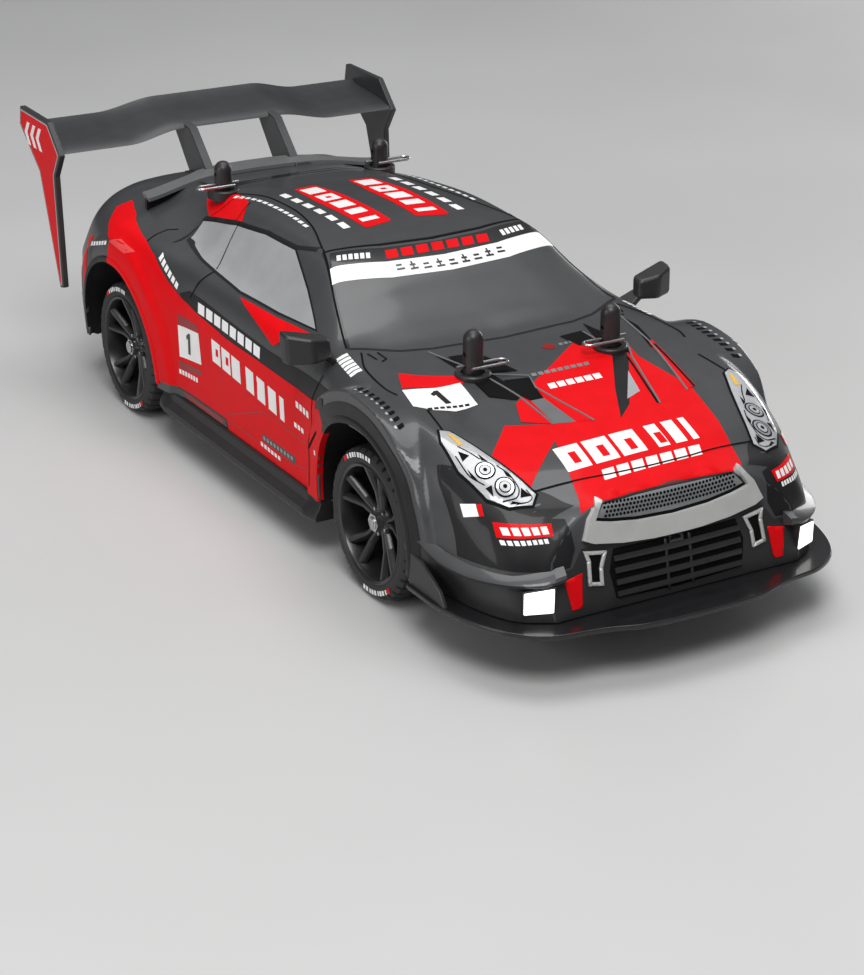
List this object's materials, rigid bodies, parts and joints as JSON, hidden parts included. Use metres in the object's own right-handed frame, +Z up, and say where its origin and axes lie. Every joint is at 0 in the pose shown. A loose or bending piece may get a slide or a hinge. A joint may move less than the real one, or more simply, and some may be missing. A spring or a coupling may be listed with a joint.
{
  "type": "remote control racing car",
  "caption": "Remote control racing coupe with opening body clips, sprung suspension arms, linked steering and a geared rear drive.",
  "frame": {"origin": "on the ground under the middle of the overall box", "axes": "+Z up, the nose towards -Y, the car's left towards +X"},
  "size_m": [0.1372, 0.326, 0.0943],
  "materials": {
    "shell_paint": "gloss dark grey with red panels on a thin polycarbonate shell",
    "window_glass": "smoked, opaque window film",
    "lamp_lens": "bright lens with dark line work",
    "lamp_led": "lit white lamp block",
    "tail_red": "red lens",
    "satin_silver": "satin silver moulded trim",
    "black_trim": "satin black moulded plastic",
    "wing_red": "gloss red with a pale outline",
    "chassis_black": "fine matt chassis plastic",
    "steel": "plain steel",
    "motor_can": "drawn steel can",
    "battery_wrap": "blue heat-shrink wrap",
    "tyre": "soft black rubber with a block shoulder",
    "gear_plastic": "pale moulded nylon",
    "switch_red": "red slider"
  },
  "bodies": {
    "car": {"battery_pack": "battery_wrap", "body_posts": "black_trim", "body_shell": "shell_paint", "chassis_plate": "chassis_black", "chassis_screws": "steel", "drive_motor": "motor_can", "fog_lamps": "lamp_led", "front_bulkhead": "chassis_black", "front_splitter": "black_trim", "front_spring_left": "steel", "front_spring_right": "steel", "grille_insert": "black_trim", "grille_surround": "satin_silver", "headlights": "lamp_lens", "hinge_pins": "steel", "rear_bulkhead": "chassis_black", "rear_diffuser": "black_trim", "rear_gearbox": "chassis_black", "rear_spring_left": "steel", "rear_spring_right": "steel", "rear_window": "window_glass", "receiver_unit": "chassis_black", "side_skirts": "black_trim", "side_windows": "window_glass", "steering_servo": "chassis_black", "tail_lights": "tail_red", "windscreen": "window_glass", "wing_endplates": "wing_red", "wing_mirrors": "shell_paint", "wing_plane": "black_trim", "wing_stays": "black_trim"},
    "clip_front_left": {"body_clip_front_left": "steel"},
    "clip_front_right": {"body_clip_front_right": "steel"},
    "clip_rear_left": {"body_clip_rear_left": "steel"},
    "clip_rear_right": {"body_clip_rear_right": "steel"},
    "switch": {"power_switch": "switch_red"},
    "horn": {"servo_horn": "gear_plastic"},
    "link": {"steering_link": "chassis_black"},
    "spool": {"drive_spool": "gear_plastic"},
    "pinion": {"motor_pinion": "steel"},
    "front_arm_body_left": {"front_arm_left": "chassis_black"},
    "rear_arm_body_left": {"rear_arm_left": "chassis_black"},
    "knuckle_left": {"steering_knuckle_left": "chassis_black", "front_axle_left": "steel"},
    "tie_left": {"tie_rod_left": "chassis_black"},
    "front_wheel_left": {"front_tyre_left": "tyre", "front_rim_left": "black_trim"},
    "rear_wheel_left": {"rear_tyre_left": "tyre", "rear_rim_left": "black_trim", "half_shaft_left": "steel"},
    "front_arm_body_right": {"front_arm_right": "chassis_black"},
    "rear_arm_body_right": {"rear_arm_right": "chassis_black"},
    "knuckle_right": {"steering_knuckle_right": "chassis_black", "front_axle_right": "steel"},
    "tie_right": {"tie_rod_right": "chassis_black"},
    "front_wheel_right": {"front_tyre_right": "tyre", "front_rim_right": "black_trim"},
    "rear_wheel_right": {"rear_tyre_right": "tyre", "rear_rim_right": "black_trim", "half_shaft_right": "steel"}
  },
  "joints": [
    {"name": "front_suspension_left", "type": "hinge", "parent": "car", "child": "front_arm_body_left", "pos_m": [0.014, -0.077, 0.023], "axis": [0, -1, 0], "range_deg": [-4, 6], "stiffness_Nm_per_rad": 1.1, "springref_deg": -3.44, "deforming": ["front_spring_left"]},
    {"name": "rear_suspension_left", "type": "hinge", "parent": "car", "child": "rear_arm_body_left", "pos_m": [0.014, 0.095, 0.023], "axis": [0, -1, 0], "range_deg": [-4, 6], "stiffness_Nm_per_rad": 1.1, "springref_deg": -3.44, "deforming": ["rear_spring_left"]},
    {"name": "steer_left", "type": "hinge", "parent": "front_arm_body_left", "child": "knuckle_left", "pos_m": [0.042, -0.077, 0.023], "axis": [0, 0, 1], "range_deg": [-20, 20]},
    {"name": "tie_rod_slide_left", "type": "slide", "parent": "front_arm_body_left", "child": "tie_left", "axis": [1, 0, 0], "range_m": [-0.0036, 0.0036]},
    {"name": "front_wheel_spin_left", "type": "hinge", "parent": "knuckle_left", "child": "front_wheel_left", "pos_m": [0.049, -0.077, 0.023], "axis": [1, 0, 0], "continuous": true},
    {"name": "rear_wheel_spin_left", "type": "hinge", "parent": "rear_arm_body_left", "child": "rear_wheel_left", "pos_m": [0.049, 0.095, 0.023], "axis": [1, 0, 0], "continuous": true},
    {"name": "front_suspension_right", "type": "hinge", "parent": "car", "child": "front_arm_body_right", "pos_m": [-0.014, -0.077, 0.023], "axis": [0, 1, 0], "range_deg": [-4, 6], "stiffness_Nm_per_rad": 1.1, "springref_deg": -3.44, "deforming": ["front_spring_right"]},
    {"name": "rear_suspension_right", "type": "hinge", "parent": "car", "child": "rear_arm_body_right", "pos_m": [-0.014, 0.095, 0.023], "axis": [0, 1, 0], "range_deg": [-4, 6], "stiffness_Nm_per_rad": 1.1, "springref_deg": -3.44, "deforming": ["rear_spring_right"]},
    {"name": "steer_right", "type": "hinge", "parent": "front_arm_body_right", "child": "knuckle_right", "pos_m": [-0.042, -0.077, 0.023], "axis": [0, 0, 1], "range_deg": [-20, 20]},
    {"name": "tie_rod_slide_right", "type": "slide", "parent": "front_arm_body_right", "child": "tie_right", "axis": [1, 0, 0], "range_m": [-0.0036, 0.0036]},
    {"name": "front_wheel_spin_right", "type": "hinge", "parent": "knuckle_right", "child": "front_wheel_right", "pos_m": [-0.049, -0.077, 0.023], "axis": [1, 0, 0], "continuous": true},
    {"name": "rear_wheel_spin_right", "type": "hinge", "parent": "rear_arm_body_right", "child": "rear_wheel_right", "pos_m": [-0.049, 0.095, 0.023], "axis": [1, 0, 0], "continuous": true},
    {"name": "servo_turn", "type": "hinge", "parent": "car", "child": "horn", "pos_m": [0, -0.057, 0.0234], "axis": [0, 0, 1], "range_deg": [-20, 20]},
    {"name": "steering_link_slide", "type": "slide", "parent": "car", "child": "link", "axis": [1, 0, 0], "range_m": [-0.0036, 0.0036]},
    {"name": "spool_spin", "type": "hinge", "parent": "car", "child": "spool", "pos_m": [0, 0.095, 0.023], "axis": [1, 0, 0], "continuous": true},
    {"name": "pinion_spin", "type": "hinge", "parent": "car", "child": "pinion", "pos_m": [0.005, 0.0881, 0.03495], "axis": [1, 0, 0], "continuous": true},
    {"name": "switch_slide", "type": "slide", "parent": "car", "child": "switch", "axis": [0, 1, 0], "range_m": [0, 0.004]},
    {"name": "clip_front_left_pull", "type": "slide", "parent": "car", "child": "clip_front_left", "axis": [-1, 0, 0], "range_m": [0, 0.012]},
    {"name": "clip_rear_left_pull", "type": "slide", "parent": "car", "child": "clip_rear_left", "axis": [1, 0, 0], "range_m": [0, 0.012]},
    {"name": "clip_front_right_pull", "type": "slide", "parent": "car", "child": "clip_front_right", "axis": [1, 0, 0], "range_m": [0, 0.012]},
    {"name": "clip_rear_right_pull", "type": "slide", "parent": "car", "child": "clip_rear_right", "axis": [-1, 0, 0], "range_m": [0, 0.012]}
  ],
  "couplings": [
    {"joint": "steer_right", "follows": "steer_left", "ratio": 1},
    {"joint": "servo_turn", "follows": "steer_left", "ratio": 1},
    {"joint": "steering_link_slide", "follows": "steer_left", "m_per_rad": -0.01},
    {"joint": "tie_rod_slide_left", "follows": "steer_left", "m_per_rad": -0.01},
    {"joint": "tie_rod_slide_right", "follows": "steer_left", "m_per_rad": -0.01},
    {"joint": "spool_spin", "follows": "rear_wheel_spin_left", "ratio": 1},
    {"joint": "rear_wheel_spin_right", "follows": "rear_wheel_spin_left", "ratio": 1},
    {"joint": "pinion_spin", "follows": "rear_wheel_spin_left", "ratio": -2.8333}
  ]
}
